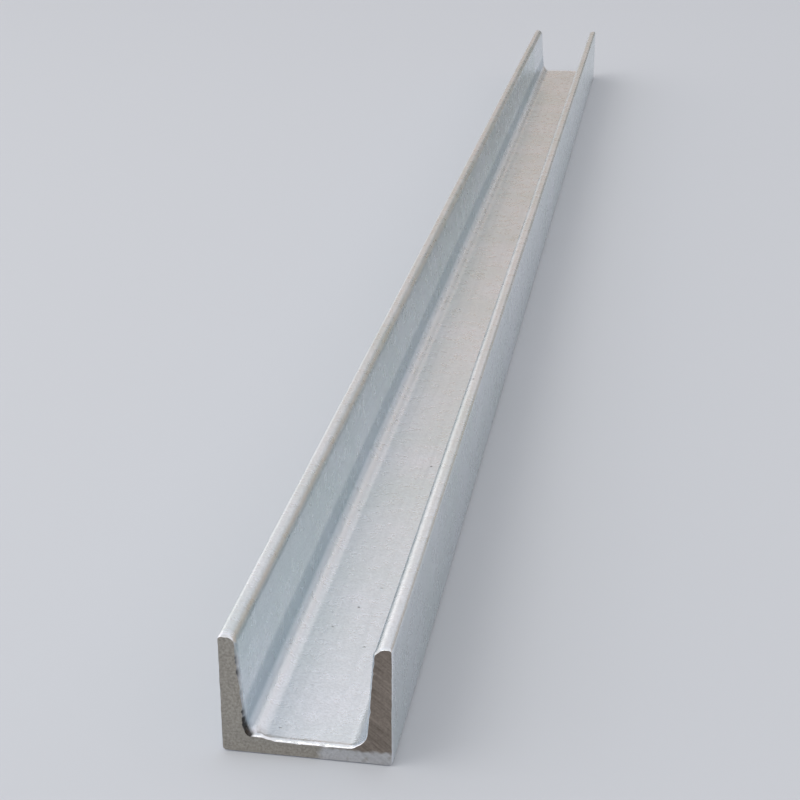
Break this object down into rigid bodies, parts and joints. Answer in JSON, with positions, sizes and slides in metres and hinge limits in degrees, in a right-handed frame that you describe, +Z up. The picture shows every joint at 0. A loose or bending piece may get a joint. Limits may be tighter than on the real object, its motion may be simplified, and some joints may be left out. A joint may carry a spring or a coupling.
{
  "type": "metal channel section",
  "caption": "Length of hot-rolled galvanised steel U channel: flat web, flanges that taper inside, rounded roots and toes, square-cut ends.",
  "frame": {"origin": "middle of the back of the web, halfway along the bar, on the surface that the bar lies on", "axes": "+X across the section, +Y along the bar, +Z up from the web's back towards the toes of the flanges"},
  "size_m": [0.05, 1, 0.038],
  "materials": {
    "galvanised_steel": "hot-dip galvanised, satin, fine grain"
  },
  "bodies": {
    "root": {"channel_section": "galvanised_steel"}
  },
  "joints": []
}
